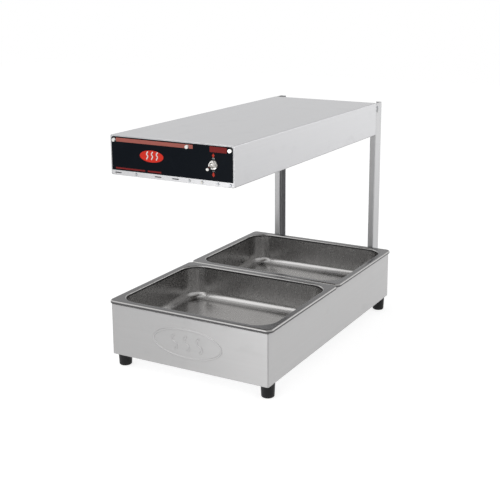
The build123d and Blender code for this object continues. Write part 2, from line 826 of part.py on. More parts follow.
def control_overlay():
    """Plate on the front panel, rounded at its top corners."""
    half = hood_half - overlay_margin
    plate = slab(-half, half, overlay_front, hood_front, overlay_bottom, overlay_top)
    plate = fillet(plate.edges().filter_by(Axis.Y).group_by(Axis.Z)[-1], overlay_corner)
    for point in panel_screw_points():
        plate -= hole(panel_screw, point, (0, 1, 0))
    return plate - hole(bushing_radius, (switch_x, hood_front, switch_z), (0, 1, 0))


def bay_cover(panel_y, seat_y, end_y):
    """Angle that closes the bay under an end of the hood: a floor, and a flange against the end panel."""
    mouth = mouth_half - slip
    y0, y1 = sorted((panel_y, end_y))
    cover = slab(-mouth, mouth, y0, y1, hood_bottom, hood_bottom + sheet)
    half = reflector_half - slip
    y0, y1 = sorted((panel_y, seat_y))
    top = hood_bottom + panel_lip
    cover += slab(-half, half, y0, y1, hood_bottom + sheet + slip, top)
    return cover + slab(-mouth, mouth, y0, y1, hood_bottom, top)


def bay_cover_front():
    y = hood_front + sheet
    cover = bay_cover(y, y + sheet, reflector_front - end_plate)
    for slot in lip_slots(hood_front):
        cover -= slot
    for point in lip_screw_points():
        cover -= hole(lip_screw, point, (0, 1, 0))
    return cover


def bay_cover_rear():
    y = hood_rear - sheet
    cover = bay_cover(y, y - sheet, reflector_rear + end_plate)
    for point in rear_screw_points():
        cover -= hole(small_screw, point, (0, 1, 0))
    return cover


def panel_screws():
    length = overlay_thickness + 2 * sheet + screw_end
    shape = (panel_screw, length, panel_head, panel_head_height)
    return group(screw(point, (0, -1, 0), *shape) for point in panel_screw_points())


def lip_screws():
    shape = (lip_screw, 2 * sheet + screw_end, lip_head, lip_head_height)
    return group(screw(point, (0, -1, 0), *shape) for point in lip_screw_points())


def tongue_faces(side):
    """The lower and the higher X of the bracket's tongue inside a post."""
    outer = post_x + post_cavity_half
    return sorted((side * outer, side * (outer - mount_plate)))


def hood_rear_panel():
    """Rear end panel with slots for the bracket's tongues and a hole for the cable."""
    y0, y1 = hood_rear - sheet, hood_rear
    panel = end_panel(y0, y1)
    for side in (-1, 1):
        x0, x1 = tongue_faces(side)
        panel -= slab(x0 - slip, x1 + slip, y0 - sheet, y1 + sheet, tongue_bottom - slip, tongue_top + slip)
    for point in rear_screw_points():
        panel -= hole(small_screw, point, (0, 1, 0))
    return panel - hole(cable_radius + grommet_wall, (post_x, hood_rear, cable_high), (0, 1, 0))


def hood_mount_bracket():
    """Heavy cross plate inside the hood whose two tongues reach back into the posts."""
    x_out = tongue_faces(1)[1]
    y0, y1 = hood_rear - 2 * sheet - mount_plate, hood_rear - 2 * sheet
    bracket = slab(-x_out, x_out, y0, y1, tongue_bottom, tongue_top)
    for side in (-1, 1):
        x0, x1 = tongue_faces(side)
        tongue = slab(x0, x1, y0, post_front + mount_tongue_reach, tongue_bottom, tongue_top)
        bracket += fillet(tongue.edges().filter_by(Axis.X).group_by(Axis.Y)[-1], mount_tongue_round)
        for z in mount_screw_heights:
            bracket -= hole(mount_screw, ((x0 + x1) / 2, mount_screw_y, z), (1, 0, 0))
    for point in rear_screw_points():
        bracket -= hole(small_screw, shifted(point, (0, -1, 0), through), (0, 1, 0))
    return bracket


def mount_screws():
    """Screws through the posts' outer walls into the bracket's tongues."""
    shape = (mount_screw, post_wall + mount_plate + screw_end / 2, mount_head, mount_head_height)
    points = [(side, (side * hood_half, mount_screw_y, z)) for side in (-1, 1) for z in mount_screw_heights]
    return group(screw(point, (side, 0, 0), *shape) for side, point in points)


# ---------------------------------------------------------------- reflector and element
def arch_face(offset, floor):
    """The region under the trough's arch, grown by an offset and cut at a floor height, in (X, Z)."""
    centre_z = crown_top - trough_radius
    radius = trough_radius + offset
    half = sqrt(radius**2 - (floor - centre_z) ** 2)
    arc = ThreePointArc((-half, floor), (0, centre_z + radius), (half, floor))
    return make_face([arc, Line((half, floor), (-half, floor))])


def along_y(face, y0, y1):
    """A face drawn in (X, Z) extruded between two stations."""
    plane = Plane(origin=(0, y0, 0), x_dir=(1, 0, 0), z_dir=(0, -1, 0))
    return plane * extrude(face, -(y1 - y0))


def flat_band(half, top):
    """The region below the reflector's flats, in (X, Z)."""
    foot = hood_bottom + sheet
    return Pos(0, (foot + top) / 2) * Rectangle(2 * half, top - foot)


def reflector():
    """Polished sheet with an arched trough between two flats, on legs that stand on the shell's lips."""
    span = (reflector_front, reflector_rear)
    metal = along_y(flat_band(reflector_half, flat_top), *span)
    metal += along_y(arch_face(0.0, flat_under), *span)
    metal -= along_y(flat_band(reflector_half - reflector_sheet, flat_under), *span)
    metal -= along_y(arch_face(-reflector_sheet, flat_under - reflector_sheet), *span)
    for y in hanger_stations():
        metal -= hole(hanger_stud, (0, y, crown_top), (0, 0, 1))
    for x, y in guard_clip_places():
        metal -= hole(small_screw, (x, y, flat_top), (0, 0, 1))
    return metal


def reflector_end(y0, y1):
    """End plate of the trough, with the hole for the element."""
    face = flat_band(reflector_half, flat_top) + arch_face(0.0, flat_under)
    return along_y(face, y0, y1) - hole(element_radius, (0, (y0 + y1) / 2, element_z), (0, 1, 0))


def element_span():
    """Front and rear ends of the element's sheath."""
    return (reflector_front - end_plate - element_end, reflector_rear + end_plate + element_end)


def heating_element():
    """Straight sheathed element with a terminal pin at each end."""
    y0, y1 = element_span()
    sheath = rod(element_radius, (0, y0, element_z), (0, y1, element_z))
    sheath = chamfer(sheath.edges().filter_by(GeomType.CIRCLE), element_chamfer)
    start, end = (0, y0 - element_pin_length, element_z), (0, y1 + element_pin_length, element_z)
    return sheath + rod(element_pin_radius, start, end)


def element_ceramics():
    """Ceramic rings outside the end plates."""
    y0, y1 = element_span()
    inner = element_radius + hole_slip
    start, end = (0, y0 + element_chamfer, element_z), (0, reflector_front - end_plate, element_z)
    front = ring(ceramic_radius, inner, start, end)
    start, end = (0, reflector_rear + end_plate, element_z), (0, y1 - element_chamfer, element_z)
    return group([front, ring(ceramic_radius, inner, start, end)])


def hanger_stations():
    pitch = (reflector_rear - reflector_front) / (hanger_count + 1)
    return [reflector_front + pitch * (index + 1) for index in range(hanger_count)]


def element_hangers():
    """Hangers: a loop round the element and a stud up through the trough's crown."""
    made = []
    inner = element_radius + hole_slip
    outer = inner + hanger_thickness
    half = hanger_width / 2
    for y in hanger_stations():
        loop = rod(outer, (0, y - half, element_z), (0, y + half, element_z))
        loop += rod(hanger_stud, (0, y, element_z), (0, y, crown_top + sheet))
        loop += rod(hanger_collar, (0, y, element_z), (0, y, crown_top - reflector_sheet - hanger_seat))
        loop -= rod(inner, (0, y - outer, element_z), (0, y + outer, element_z))
        made.append(loop)
    return group(made)


def hood_insulation():
    """Blanket over the trough, with holes over the hangers' studs."""
    cover = along_y(arch_face(hood_blanket, flat_top), reflector_front, reflector_rear)
    cover -= along_y(arch_face(slip, flat_under), reflector_front - sheet, reflector_rear + sheet)
    for y in hanger_stations():
        cover -= rod(hanger_stud + slip, (0, y, crown_top - sheet), (0, y, crown_top + 2 * sheet))
    return cover


def guard_bar_stations():
    first = reflector_front + guard_end_margin
    pitch = (reflector_rear - reflector_front - 2 * guard_end_margin) / (guard_bars - 1)
    return [first + index * pitch for index in range(guard_bars)]


def wire_guard():
    """Welded grille under the element: cross wires against the flats and three long wires below them."""
    cross_z = flat_under - guard_cross_radius
    long_z = cross_z - guard_cross_radius - guard_long_radius + weld
    stations = guard_bar_stations()
    first, last = stations[0] - guard_tail, stations[-1] + guard_tail
    wires = [
        rod(guard_long_radius, (x, first, long_z), (x, last, long_z))
        for x in (-guard_half_span, 0, guard_half_span)
    ]
    for y in stations:
        wires.append(rod(guard_cross_radius, (-guard_reach, y, cross_z), (guard_reach, y, cross_z)))
    guard = wires[0]
    for wire in wires[1:]:
        guard += wire
    return guard


def guard_clip_places():
    """Screws of the four clips that hold the guard's first and last wire."""
    stations = guard_bar_stations()
    x = guard_reach + guard_clip_foot / 2 + slip
    return [(side * x, y) for side in (-1, 1) for y in (stations[0], stations[-1])]


def guard_clips():
    """Saddles that hold the ends of the outermost cross wires against the reflector's flats."""
    made = []
    inner, outer = guard_cross_radius + hole_slip, guard_cross_radius + guard_clip_sheet
    for x, y in guard_clip_places():
        side = 1 if x > 0 else -1
        z = flat_under - guard_cross_radius
        near, far = abs(x) - guard_clip_foot / 2 - guard_clip_grip, abs(x) - guard_clip_foot / 2
        clip = side_slab(side, near, far + guard_clip_stop, y - outer, y + outer, z - outer, flat_under)
        clip -= rod(inner, (side * (near - sheet), y, z), (side * far, y, z))
        y0, y1 = y - guard_clip_width / 2, y + guard_clip_width / 2
        clip += side_slab(side, far, far + guard_clip_foot, y0, y1, flat_under - guard_clip_sheet, flat_under)
        clip -= hole(small_screw, (x, y, flat_under), (0, 0, 1))
        made.append(clip)
    return group(made)


def guard_clip_screws():
    length = guard_clip_sheet + reflector_sheet + screw_end / 2
    shape = (small_screw, length, lip_head, lip_head_height)
    seats = [(x, y, flat_under - guard_clip_sheet) for x, y in guard_clip_places()]
    return group(screw(seat, (0, 0, -1), *shape) for seat in seats)


# ---------------------------------------------------------------- toggle switch
def switch_point(y):
    return (switch_x, y, switch_z)


def switch_body():
    """Moulded switch housing behind the panel, with two blade terminals."""
    half_x, half_z = switch_body_width / 2, switch_body_height / 2
    x0, x1 = switch_x - half_x, switch_x + half_x
    body = slab(x0, x1, switch_body_front, switch_body_rear, switch_z - half_z, switch_z + half_z)
    body = fillet(body.edges().filter_by(Axis.Y), bend)
    x0, x1 = switch_x - blade_width / 2, switch_x + blade_width / 2
    edge = blade_thickness / 2
    for side in (-1, 1):
        z = switch_z + side * blade_spread
        body += slab(x0, x1, switch_body_rear, switch_body_rear + blade_length, z - edge, z + edge)
    return body


def switch_bushing():
    """Threaded bushing through the panel, bored and flared for the lever and cross-drilled for its pin."""
    mouth = overlay_front - bushing_reach
    bushing = ring(bushing_radius, bushing_bore, switch_point(mouth), switch_point(switch_body_front))
    bushing -= cone_bar(
        bushing_bore + bushing_flare, bushing_bore, switch_point(mouth), switch_point(mouth + bushing_flare)
    )
    return bushing - pin_bar(lever_pin_radius, bushing_radius + sheet)


def pin_bar(radius, reach):
    """A bar along the lever's pivot."""
    return rod(radius, (switch_x - reach, pivot_y, switch_z), (switch_x + reach, pivot_y, switch_z))


def switch_inner_nut():
    """Nut that seats the switch against the panel's inside."""
    y0, y1 = hood_front + sheet, switch_body_front
    nut = hexagon_bar(switch_nut_flats, switch_point(y0), switch_point(y1))
    return nut - rod(bushing_radius + hole_slip, switch_point(y0), switch_point(y1))


def switch_washer():
    y0, y1 = overlay_front - switch_washer_height, overlay_front
    return ring(switch_washer_radius, bushing_radius + hole_slip, switch_point(y0), switch_point(y1))


def switch_nut():
    """Outer nut with a chamfered face."""
    y1 = overlay_front - switch_washer_height
    y0 = y1 - switch_nut_height
    nut = hexagon_bar(switch_nut_flats, switch_point(y0), switch_point(y1))
    corner = switch_nut_flats / sqrt(3)
    nut &= cone_bar(switch_nut_flats / 2, corner + switch_nut_round, switch_point(y0), switch_point(y1))
    return nut - rod(bushing_radius + hole_slip, switch_point(y0 - sheet), switch_point(y1 + sheet))


def toggle_lever():
    """Bat-shaped lever on a ball, tilted down at rest."""
    aim = (0, -cos(radians(lever_tilt)), -sin(radians(lever_tilt)))
    pivot = switch_point(pivot_y)
    tip = shifted(pivot, aim, lever_length)
    lever = Pos(*pivot) * Sphere(lever_ball_radius)
    lever += cone_bar(lever_root_radius, lever_tip_radius, pivot, tip)
    lever += Pos(*tip) * Sphere(lever_tip_radius)
    return lever - pin_bar(lever_pin_radius + lever_pin_slip, lever_ball_radius + sheet)


def lever_pin():
    return pin_bar(lever_pin_radius, bushing_radius - hole_slip)


# ---------------------------------------------------------------- wiring
def cable_grommets():
    """Rubber grommets where the cable goes through the rear panel, a bracket and post, and the hood."""
    made = []
    places = (
        (base_rear - sheet, base_rear, cable_low),
        (post_front - bracket_sheet, post_front + post_wall, cable_low),
        (hood_rear - sheet, post_front + post_wall, cable_high),
    )
    for y0, y1, z in places:
        neck = rod(cable_radius + grommet_wall - hole_slip / 2, (post_x, y0, z), (post_x, y1, z))
        flange_radius = cable_radius + grommet_wall + grommet_lip
        flange = rod(flange_radius, (post_x, y0 - grommet_flange, z), (post_x, y0, z))
        start, end = (post_x, y0 - grommet_flange, z), (post_x, y1, z)
        made.append(neck + flange - rod(cable_radius + hole_slip, start, end))
    return group(made)


def post_cable():
    """Cable from the base's terminal block, up inside the right post, to the hood's terminal block."""
    start_x = terminal_left + terminal_length
    y = base_rear - terminal_setback + terminal_width / 2
    cable_y = post_rear - post_wall - cable_radius - cable_slack
    points = [
        (start_x, y, cable_low - cable_dip),
        (post_x, y, cable_low - cable_dip),
        (post_x, base_rear - cable_settle, cable_low),
        (post_x, cable_y, cable_low),
        (post_x, cable_y, cable_high),
        (post_x, hood_block_rear, cable_high),
    ]
    return tube_along(points, cable_radius, [cable_bend, cable_settle_bend, cable_bend, cable_bend])


def hood_terminal_block():
    """Terminal block on the reflector's right flat."""
    x1 = reflector_half - slip
    y0 = hood_block_rear - hood_terminal_length
    top = flat_top + hood_terminal_height
    block = slab(x1 - hood_terminal_width, x1, y0, hood_block_rear, flat_top, top)
    return fillet(block.edges().filter_by(Axis.Y), terminal_round)


def switch_lead():
    """Lead from the hood's terminal block along the reflector's flat to the switch."""
    z = flat_top + lead_radius + slip
    x = post_x - lead_inset
    points = [
        (x, hood_block_rear - hood_terminal_length, z),
        (x, switch_body_rear + lead_turn_far, z),
        (switch_x, switch_body_rear + lead_turn_near, switch_z),
        (switch_x, switch_body_rear, switch_z),
    ]
    return tube_along(points, lead_radius, [lead_bend, lead_bend])


def element_leads():
    """The two short leads to the element's terminal pins."""
    y0, y1 = element_span()
    front_y, rear_y = y0 - element_pin_length / 2, y1 + element_pin_length / 2
    touch = element_pin_radius + hole_slip
    side_x = switch_x - switch_body_width / 2
    front = [
        (side_x, front_y, switch_z - lead_drop),
        (side_x - lead_step, front_y, switch_z - lead_drop),
        (touch + lead_step, front_y, element_z),
        (touch, front_y, element_z),
    ]
    block_x = reflector_half - slip - hood_terminal_width
    block_y = hood_block_rear - hood_terminal_length / 2
    block_z = flat_top + hood_terminal_height / 2
    rear = [
        (block_x, block_y, block_z),
        (block_x - lead_step, block_y, block_z),
        (block_x - 2 * lead_step, rear_y, element_z),
        (touch, rear_y, element_z),
    ]
    bends = [lead_short_bend, lead_short_bend]
    return group(tube_along(points, lead_radius, bends) for points in (front, rear))


def base_leads():
    """Leads from the terminal block to the thermostat and on to the blanket element."""
    y = base_rear - thermostat_setback
    z = bottom_panel_top + terminal_height / 2
    blade_x = thermostat_blade_spread + blade_thickness / 2
    blade_z = well_floor_under - thermostat_height - thermostat_blade / 2
    points = [
        (terminal_left, y, z),
        (terminal_left - lead_step / 2, y, z),
        (blade_x + lead_step / 2, y, blade_z),
        (blade_x, y, blade_z),
    ]
    first = tube_along(points, lead_radius, [lead_short_bend, lead_short_bend])
    low = heater_lead_z()
    second = rod(lead_radius, (0, tray_rear - lead_notch, low), (0, y - thermostat_radius, low))
    return group([first, second])


# ---------------------------------------------------------------- pans
def mouth_edges(shape, y, z):
    """The edges round a pan's mouth at one height."""
    reach_x, reach_y = pan_width / 2 - pan_flat + 2 * pan_sheet, pan_length / 2 - pan_flat + 2 * pan_sheet
    level = shape.edges().filter_by_position(Axis.Z, z - hole_slip, z + hole_slip)
    return [e for e in level if abs(e.center().X) < reach_x and abs(e.center().Y - y) < reach_y]


def food_pan(y):
    """Drawn pan: a flat rim with a rolled lip, turned down into a drafted body with a rounded floor."""
    t = pan_sheet
    top = Pos(0, y, rim_top)
    rim = top * extrude(RectangleRounded(pan_width, pan_length, pan_rim_corner), -pan_lip)
    rim = fillet(rim.edges().group_by(Axis.Z)[-1], pan_rim_roll)
    under = RectangleRounded(pan_width - 2 * t, pan_length - 2 * t, pan_rim_corner - t)
    hollow = Pos(0, y, rim_under) * extrude(under, -pan_lip)
    hollow = fillet(hollow.edges().group_by(Axis.Z)[-1], pan_rim_roll - t)
    opening_x = pan_width - 2 * pan_flat
    opening_y = pan_length - 2 * pan_flat
    outline = RectangleRounded(opening_x + 2 * t, opening_y + 2 * t, pan_opening_corner + t)
    body = top * extrude(outline, -pan_depth, taper=pan_draft)
    body = fillet(body.edges().group_by(Axis.Z)[0], pan_floor_radius + t)
    mouth = RectangleRounded(opening_x, opening_y, pan_opening_corner)
    inside = top * extrude(mouth, t - pan_depth, taper=pan_draft)
    inside = fillet(inside.edges().group_by(Axis.Z)[0], pan_floor_radius)
    pan = rim - hollow + body
    pan = fillet(mouth_edges(pan, y, rim_under), pan_mouth_roll - t) - inside
    return fillet(mouth_edges(pan, y, rim_top), pan_mouth_roll)


# ---------------------------------------------------------------- assembly
def pieces():
    """Every sub-part by its node name."""
    made = {
        "base_shell": base_shell(),
        "base_rear_panel": base_rear_panel(),
        "base_bottom_panel": base_bottom_panel(),
        "pan_well": pan_well(),
        "base_heater": base_heater(),
        "heater_insulation": heater_insulation(),
        "heater_tray": heater_tray(),
        "tray_screws": tray_screws(),
        "base_thermostat": base_thermostat(),
        "terminal_block": terminal_block(),
        "cord_gland": cord_gland(),
        "foot_screws": foot_screws(),
        "foot_nuts": foot_nuts(),
        "casing_screws": casing_screws(),
        "post_bolts": post_bolts(),
        "post_inserts": post_inserts(),
        "hood_shell": hood_shell(),
        "hood_front_panel": hood_front_panel(),
        "control_overlay": control_overlay(),
        "bay_cover_front": bay_cover_front(),
        "bay_cover_rear": bay_cover_rear(),
        "panel_screws": panel_screws(),
        "lip_screws": lip_screws(),
        "hood_rear_panel": hood_rear_panel(),
        "hood_mount_bracket": hood_mount_bracket(),
        "mount_screws": mount_screws(),
        "reflector": reflector(),
        "reflector_end_front": reflector_end(reflector_front - end_plate, reflector_front),
        "reflector_end_rear": reflector_end(reflector_rear, reflector_rear + end_plate),
        "heating_element": heating_element(),
        "element_ceramics": element_ceramics(),
        "element_hangers": element_hangers(),
        "hood_insulation": hood_insulation(),
        "wire_guard": wire_guard(),
        "guard_clips": guard_clips(),
        "guard_clip_screws": guard_clip_screws(),
        "switch_body": switch_body(),
        "switch_bushing": switch_bushing(),
        "switch_inner_nut": switch_inner_nut(),
        "switch_washer": switch_washer(),
        "switch_nut": switch_nut(),
        "lever_pin": lever_pin(),
        "toggle_lever": toggle_lever(),
        "cable_grommets": cable_grommets(),
        "post_cable": post_cable(),
        "hood_terminal_block": hood_terminal_block(),
        "switch_lead": switch_lead(),
        "element_leads": element_leads(),
        "base_leads": base_leads(),
        "front_pan": food_pan(front_pan_y),
        "rear_pan": food_pan(rear_pan_y),
    }
    for side, name in ((-1, "left"), (1, "right")):
        made[f"{name}_post"] = post(side)
        made[f"{name}_post_bracket"] = post_bracket(side)
        x = side * (base_half - foot_side_inset)
        for end, y in zip(("front", "rear"), foot_ys):
            made[f"foot_{end}_{name}"] = rubber_foot(x, y)
    return made


def main():
    os.makedirs("parts", exist_ok=True)
    for name, shape in pieces().items():
        export_step(shape, f"parts/{name}.step")


if __name__ == "__main__":
    main()
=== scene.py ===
"""Countertop chip warmer, dressed: finishes for every part of the frame, the printing on the control panel,
a plain pale floor, soft studio light and the camera."""

from math import cos, pi, radians, sin

import bmesh
import bpy
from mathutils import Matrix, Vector


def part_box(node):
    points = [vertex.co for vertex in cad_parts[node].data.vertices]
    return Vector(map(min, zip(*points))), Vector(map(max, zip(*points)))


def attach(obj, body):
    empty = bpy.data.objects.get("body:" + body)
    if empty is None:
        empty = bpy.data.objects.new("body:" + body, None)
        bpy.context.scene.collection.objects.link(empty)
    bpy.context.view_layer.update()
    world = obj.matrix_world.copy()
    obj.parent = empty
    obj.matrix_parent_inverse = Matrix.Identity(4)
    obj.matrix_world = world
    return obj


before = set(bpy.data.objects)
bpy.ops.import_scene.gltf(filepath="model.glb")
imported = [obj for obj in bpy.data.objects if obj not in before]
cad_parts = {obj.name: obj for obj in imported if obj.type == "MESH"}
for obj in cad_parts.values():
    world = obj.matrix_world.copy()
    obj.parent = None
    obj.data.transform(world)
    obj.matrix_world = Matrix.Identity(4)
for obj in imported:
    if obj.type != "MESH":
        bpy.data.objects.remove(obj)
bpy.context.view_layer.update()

BODY = "base"
PRINT_FILM = 0.00012  # how thick the inks are
INK_GAP = 0.0000002  # a hair that keeps the inks off the overlay's own face


# ---------------------------------------------------------------- places in the frame, in metres
def middle_of(node):
    """The middle of a frame node's box."""
    low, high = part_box(node)
    return (low + high) / 2


PANEL = middle_of("control_overlay")
PANEL_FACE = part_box("control_overlay")[0].y - INK_GAP
SWITCH = middle_of("switch_nut")
ELEMENT = middle_of("heating_element")
RIM_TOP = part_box("front_pan")[1].z


# ---------------------------------------------------------------- shader maths
class Tone:
    """One output of a node. Sums written on it add Math nodes to its tree."""

    def __init__(self, nodes, socket):
        self.nodes, self.socket = nodes, socket

    def maths(self, operation, first, second=0.0):
        return self.nodes.node("Math", {"operation": operation}, {0: first, 1: second})

    def __add__(self, other):
        return self.maths("ADD", self, other)

    def __sub__(self, other):
        return self.maths("SUBTRACT", self, other)

    def __rsub__(self, other):
        return self.maths("SUBTRACT", other, self)

    def __mul__(self, other):
        return self.maths("MULTIPLY", self, other)

    def __pow__(self, other):
        return self.maths("POWER", self, other)

    __radd__, __rmul__ = __add__, __mul__

    def sine(self):
        return self.maths("SINE", self)

    def size(self):
        return self.maths("ABSOLUTE", self)

    def larger(self, other):
        return self.maths("MAXIMUM", self, other)

    def between(self, low, high):
        """0 below low, 1 above high, and smooth from one to the other."""
        return self.nodes.node(
            "MapRange", {"interpolation_type": "SMOOTHSTEP"},
            {"Value": self, "From Min": low, "From Max": high})


class Nodes:
    """A node tree and the one way its nodes are made."""

    def __init__(self, tree):
        self.tree = tree

    def node(self, kind, settings=None, inputs=None, output=0):
        made = self.tree.nodes.new("ShaderNode" + kind)
        for name, value in (settings or {}).items():
            if name == "stops":
                ramp = made.color_ramp
                for index, (place, colour) in enumerate(value):
                    stop = ramp.elements[index] if index < 2 else ramp.elements.new(place)
                    stop.position, stop.color = place, (*colour, 1.0)
            else:
                setattr(made, name, value)
        for name, value in (inputs or {}).items():
            self.feed(made.inputs[name], value)
        return Tone(self, made.outputs[output])

    def feed(self, socket, value):
        if isinstance(value, Tone):
            self.tree.links.new(value.socket, socket)
        elif socket.type == "RGBA":
            socket.default_value = (*value, 1.0)
        else:
            socket.default_value = value


class Finish(Nodes):
    """A procedural finish: a material with one Principled shader. Its patterns are in the frame's metres."""

    EDGE_FULL_TURN = 1 / 6  # how far a rounded edge's normal leaves the flat one, as 1 less their cosine

    def __init__(self, name, **plain):
        self.material = bpy.data.materials.new(name)
        self.material.use_nodes = True
        super().__init__(self.material.node_tree)
        self.shader = self.tree.nodes["Principled BSDF"]
        self.place = self.node("TexCoord", output="Object")
        self.set(**plain)

    def set(self, **inputs):
        for name, value in inputs.items():
            self.feed(self.shader.inputs[name.replace("_", " ").title().replace("Ior", "IOR")], value)
        return self

    def noise(self, scale, detail=2.0, stretch=(1.0, 1.0, 1.0), roughness=0.5, warp=0.0):
        """Soft noise, packed more tightly along an axis where stretch is larger."""
        stretched = self.node("Mapping", {}, {"Vector": self.place, "Scale": stretch})
        return self.node("TexNoise", {}, {"Vector": stretched, "Scale": scale, "Detail": detail,
                                          "Roughness": roughness, "Distortion": warp})

    def cells(self, scale, output="Distance"):
        return self.node("TexVoronoi", {}, {"Vector": self.place, "Scale": scale}, output)

    def axis(self, letter, start=0.0):
        """How far along one axis the point is, in metres from the start."""
        return self.node("SeparateXYZ", {}, {"Vector": self.place}, letter) - start

    def shaded(self, colour, tone):
        return self.node("VectorMath", {"operation": "SCALE"}, {0: colour, "Scale": tone})

    def mixed(self, amount, first, second):
        return self.node("Mix", {"data_type": "RGBA"}, {0: amount, 6: first, 7: second}, 2)

    def rounded(self, radius):
        """Normals that turn over the edges, as if each had this radius."""
        return self.node("Bevel", {"samples": 4}, {"Radius": radius})

    def edge_band(self, radius):
        """1 along the edges and 0 on the flats."""
        flat = self.node("NewGeometry", output="Normal")
        alike = self.node("VectorMath", {"operation": "DOT_PRODUCT"},
                          {0: self.rounded(radius), 1: flat}, "Value")
        return (1 - alike).between(0.0, self.EDGE_FULL_TURN)

    def bumped(self, height, strength, distance, edge=0.0):
        inputs = {"Height": height, "Strength": strength, "Distance": distance}
        if edge:
            inputs["Normal"] = self.rounded(edge)
        return self.set(normal=self.node("Bump", {}, inputs))


# ---------------------------------------------------------------- finishes
def satin_sheet(name, metal, rubbed, roughness, streak=0.0, edge=0.0008):
    """Sheet rubbed one way with a fine belt: thin grain, slow streaks, faint handling, and brighter edges
    that are partly wear and partly a painted highlight.
    rubbed is how tightly the grain is packed along each axis, in lines a metre. streak is how far the grain
    draws out a highlight, and edge is the radius that the edges seem to have."""
    sheet = Finish(name, metallic=1.0, anisotropic=streak, anisotropic_rotation=0.25)
    grain = sheet.noise(1.0, 3.0, rubbed)
    streaks = sheet.noise(1.0, 2.0, tuple(lines / 9 for lines in rubbed))
    handling = sheet.noise(8.0, 4.0, warp=0.4)
    smears = sheet.noise(26.0, 3.0, (1.0, 1.0, 1.6)).between(0.56, 0.78)
    edges = sheet.edge_band(edge)
    # edges * 0.14 paints the edges and folds brighter: partly wear, partly a painted highlight.
    tone = 0.93 + grain * 0.06 + streaks * 0.05 + (handling - 0.5) * 0.05 + edges * 0.14
    sheet.set(base_color=sheet.shaded(metal, tone),
              roughness=roughness + grain * 0.07 + handling * 0.06 + smears * 0.06 - edges * 0.08)
    sheet.bumped(grain + streaks * 0.5, strength=0.10, distance=0.00006, edge=edge)
    return sheet.material


def drawn_pan_steel():
    """Deep-drawn pan: faint draw lines up its walls, utensil scuffs and dried spots, and a rim painted dark
    as a painted dark reflection, with a painted highlight along its rolls."""
    # The rim's flats and lip are painted dark, a painted dark reflection, and its rolls lighter, a painted
    # highlight; inside is the walls' own steel.
    inside, rim_painted_dark, roll_painted_highlight = (0.40, 0.395, 0.39), (0.080, 0.079, 0.082), (0.32, 0.316, 0.312)
    rim_foot = RIM_TOP - 0.0053
    pan = Finish("drawn_pan_steel", metallic=1.0)
    draw_lines = pan.noise(1.0, 3.0, (260.0, 260.0, 9.0))
    ripple = pan.noise(22.0, 2.0)
    scuffs = pan.noise(1.0, 4.0, (1500.0, 70.0, 70.0), warp=0.6).between(0.60, 0.72)
    cross_scuffs = pan.noise(1.0, 4.0, (60.0, 1400.0, 60.0), warp=0.6).between(0.62, 0.74)
    marks = scuffs.larger(cross_scuffs)
    spots = 1 - pan.cells(95.0).between(0.10, 0.16)
    dried = spots * pan.noise(14.0, 2.0).between(0.52, 0.66)
    upward = pan.node("SeparateXYZ", {}, {"Vector": pan.node("TexCoord", output="Normal")}, "Z")
    # rolls: the rim's rounded rolls, found by which way they face, which get the painted highlight.
    rolls = (1 - upward).between(0.02, 0.12) * upward.between(0.04, 0.28)
    rim = pan.axis("Z").between(rim_foot - 0.0005, rim_foot + 0.0005)
    steel = pan.mixed(rim, inside, pan.mixed(rolls, rim_painted_dark, roll_painted_highlight))
    pan.set(base_color=pan.shaded(steel, 0.90 + draw_lines * 0.07 + ripple * 0.05 - marks * 0.05),
            roughness=0.22 + draw_lines * 0.04 + marks * 0.09 + dried * 0.05)
    pan.bumped(draw_lines * 0.15 + ripple + marks * 0.1, strength=0.08, distance=0.00025)
    return pan.material


def folded_plain_steel():
    """Aluminised sheet behind the scenes: spangle, dull roughness and a few rub marks."""
    sheet = Finish("folded_plain_steel", metallic=1.0)
    spangle = sheet.cells(150.0, "Color")
    flake = sheet.node("SeparateColor", {}, {"Color": spangle})
    rubs = sheet.noise(1.0, 3.0, (40.0, 900.0, 900.0)).between(0.58, 0.72)
    tone = 0.84 + flake * 0.16 + sheet.noise(12.0, 3.0) * 0.06 - rubs * 0.05
    sheet.set(base_color=sheet.shaded((0.50, 0.51, 0.53), tone),
              roughness=0.36 + flake * 0.12 + rubs * 0.08)
    sheet.bumped(flake * 0.4 + sheet.noise(700.0), strength=0.10, distance=0.00008, edge=0.0006)
    return sheet.material


def bright_reflector():
    """Polished reflector, with the long ripple of its rolling and a straw heat tint over the element."""
    clean, straw = (0.70, 0.70, 0.71), (0.61, 0.50, 0.34)
    mirror = Finish("bright_reflector", metallic=1.0)
    heat = 1 - mirror.axis("X").size().between(0.004, 0.060)
    patchy = heat * (0.55 + mirror.noise(9.0, 3.0) * 0.7)
    rolling = mirror.noise(1.0, 3.0, (420.0, 5.0, 420.0))
    mirror.set(base_color=mirror.shaded(mirror.mixed(patchy * 0.55, clean, straw), 0.93 + rolling * 0.10),
               roughness=0.11 + rolling * 0.06 + patchy * 0.08)
    mirror.bumped(rolling + mirror.noise(30.0) * 0.6, strength=0.12, distance=0.00020, edge=0.0006)
    return mirror.material


def printed_panel_black():
    """Black polyester overlay with a fine stipple, slightly dusty and wiped from side to side."""
    black, dusty = (0.0030, 0.0050, 0.0085), (0.011, 0.014, 0.019)
    face = Finish("printed_panel_black", specular_ior_level=0.045)
    stipple = face.noise(2600.0, 2.0)
    dust = face.noise(34.0, 4.0, warp=0.5).between(0.50, 0.80)
    wiped = face.noise(1.0, 3.0, (14.0, 14.0, 190.0)).between(0.45, 0.75)
    face.set(base_color=face.mixed(dust * 0.30, black, dusty),
             roughness=0.30 + stipple * 0.10 + dust * 0.10 - wiped * 0.04)
    face.bumped(stipple, strength=0.22, distance=0.00005, edge=0.0004)
    return face.material


